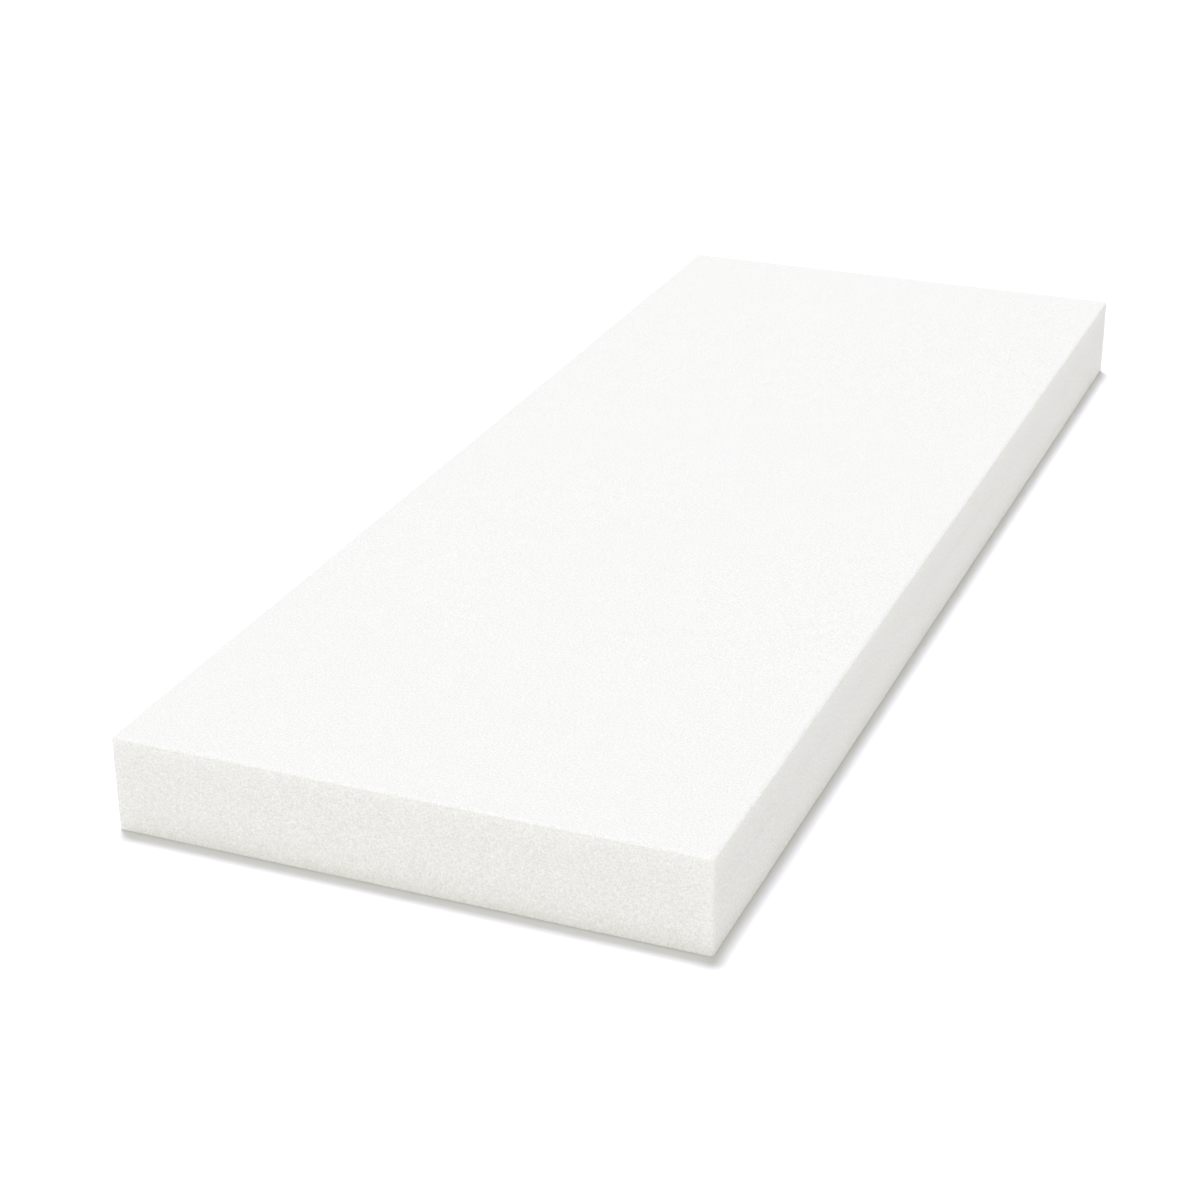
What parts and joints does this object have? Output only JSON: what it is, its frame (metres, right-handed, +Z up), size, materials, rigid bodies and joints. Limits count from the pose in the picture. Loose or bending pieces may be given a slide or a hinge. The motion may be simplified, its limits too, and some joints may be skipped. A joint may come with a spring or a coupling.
{
  "type": "memory foam mattress",
  "caption": "Bare white memory foam mattress: a long, low rectangular slab with square-cut sides, soft memory foam bonded over a firmer support foam.",
  "frame": {"origin": "middle of the flat underside, where the mattress rests on its base", "axes": "+X across the mattress, +Y along its length, +Z up through its thickness towards the face slept on"},
  "size_m": [0.762, 2.032, 0.127],
  "materials": {
    "memory_foam": "matte open-cell viscoelastic polyurethane foam, saw-cut, white",
    "foam_adhesive": "matte cured water-based foam adhesive, off-white",
    "support_foam": "matte open-cell high-resilience polyurethane foam, saw-cut, white"
  },
  "bodies": {
    "root": {"comfort_layer": "memory_foam", "bond_film": "foam_adhesive", "support_core": "support_foam"}
  },
  "joints": []
}
